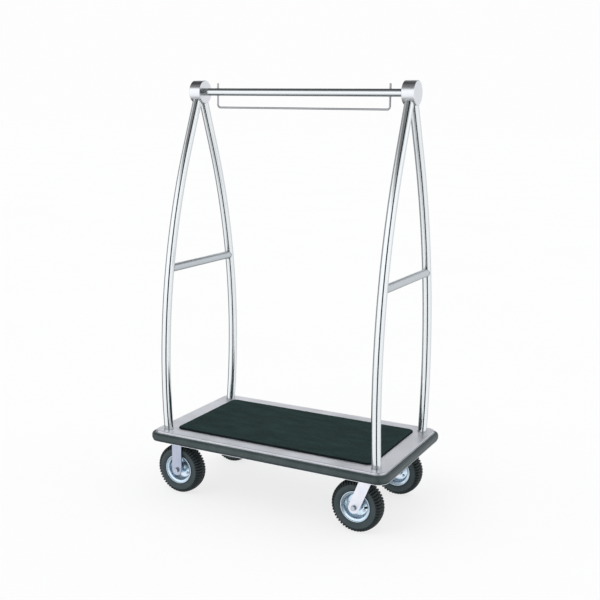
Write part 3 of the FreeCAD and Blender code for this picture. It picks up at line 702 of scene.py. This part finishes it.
def make_world():
    """A plain pale backdrop and soft light, and tall strips with a dim ceiling in reflections."""
    world = bpy.data.worlds.new("studio")
    bpy.context.scene.world = world
    world.use_nodes = True
    nodes, links = world.node_tree.nodes, world.node_tree.links
    nodes.clear()

    def put(kind, operation=None, *inputs):
        node = nodes.new("ShaderNode" + kind)
        if operation:
            node.operation = operation
        for k, value in enumerate(inputs):
            if isinstance(value, bpy.types.NodeSocket):
                links.new(value, node.inputs[k])
            elif value is not None:
                node.inputs[k].default_value = value
        return node

    ray = put("SeparateXYZ", None, nodes.new("ShaderNodeTexCoord").outputs["Generated"]).outputs
    back = put("Math", "MULTIPLY", ray[1], -1.0).outputs[0]
    round_it = put("Math", "ARCTAN2", ray[0], back).outputs[0]
    share = put("Math", "MULTIPLY_ADD", round_it, 0.5 / math.pi, 0.5).outputs[0]
    strips = put("ValToRGB", None, share)
    fill_ramp(strips, [((angle + 180) / 360, (v, v, v * 1.01)) for angle, v in STRIPS])
    heights = put("ValToRGB", None, put("Math", "MULTIPLY_ADD", ray[2], 0.5, 0.5).outputs[0])
    fill_ramp(heights, [(0.5 + 0.5 * h, (v, v * 1.01, v * 1.02)) for h, v in HEIGHTS])
    lit = nodes.new("ShaderNodeMix")
    lit.data_type = "RGBA"
    lit.blend_type = "MULTIPLY"
    lit.inputs[0].default_value = 1.0
    links.new(strips.outputs[0], lit.inputs[6])
    links.new(heights.outputs[0], lit.inputs[7])
    lights = nodes.new("ShaderNodeBackground")
    links.new(lit.outputs[2], lights.inputs[0])
    lights.inputs[1].default_value = 1.0
    backdrop = nodes.new("ShaderNodeBackground")
    backdrop.inputs[0].default_value = BACKDROP
    soft = nodes.new("ShaderNodeBackground")
    soft.inputs[0].default_value = SOFT_LIGHT
    path = nodes.new("ShaderNodeLightPath").outputs
    chosen = soft.outputs[0]
    for ray_kind, shader in (("Is Glossy Ray", lights), ("Is Camera Ray", backdrop)):
        mix = nodes.new("ShaderNodeMixShader")
        links.new(path[ray_kind], mix.inputs[0])
        links.new(chosen, mix.inputs[1])
        links.new(shader.outputs[0], mix.inputs[2])
        chosen = mix.outputs[0]
    output = nodes.new("ShaderNodeOutputWorld")
    links.new(chosen, output.inputs[0])


def make_sun(name, place, spread, strength):
    """A broad, soft light from a direction. It leaves no reflection of itself."""
    data = bpy.data.lights.new(name, "SUN")
    data.angle = math.radians(spread)
    data.energy = strength
    light = bpy.data.objects.new(name, data)
    light.rotation_euler = (-Vector(place)).to_track_quat("-Z", "Y").to_euler()
    light.visible_glossy = False
    bpy.context.scene.collection.objects.link(light)


def make_camera():
    yaw, pitch, roll = (math.radians(a) for a in (CAMERA_YAW, CAMERA_PITCH, CAMERA_ROLL))
    ahead = Vector((-math.sin(yaw) * math.cos(pitch), math.cos(yaw) * math.cos(pitch), -math.sin(pitch)))
    right = ahead.cross(Vector((0, 0, 1))).normalized()
    up = right.cross(ahead)
    across = right * math.cos(roll) + up * math.sin(roll)
    top = up * math.cos(roll) - right * math.sin(roll)
    data = bpy.data.cameras.new("camera")
    data.sensor_width = 36.0
    data.lens = CAMERA_LENS
    data.shift_y = CAMERA_SHIFT
    camera = bpy.data.objects.new("camera", data)
    turned = Matrix((across, top, -ahead)).transposed().to_4x4()
    camera.matrix_world = Matrix.Translation(CAMERA_PLACE) @ turned
    bpy.context.scene.collection.objects.link(camera)
    bpy.context.scene.camera = camera


bpy.context.scene.view_settings.view_transform = "Standard"
make_camera()
make_world()
make_floor()
make_sun("key", (-1.0, -1.6, 2.6), 45.0, 0.8)
make_sun("rear", (1.6, 1.4, 2.4), 60.0, 0.35)
finish_nodes()
for wheel in WHEELS:
    make_tyre(wheel)
make_carpet()
make_all_welds()
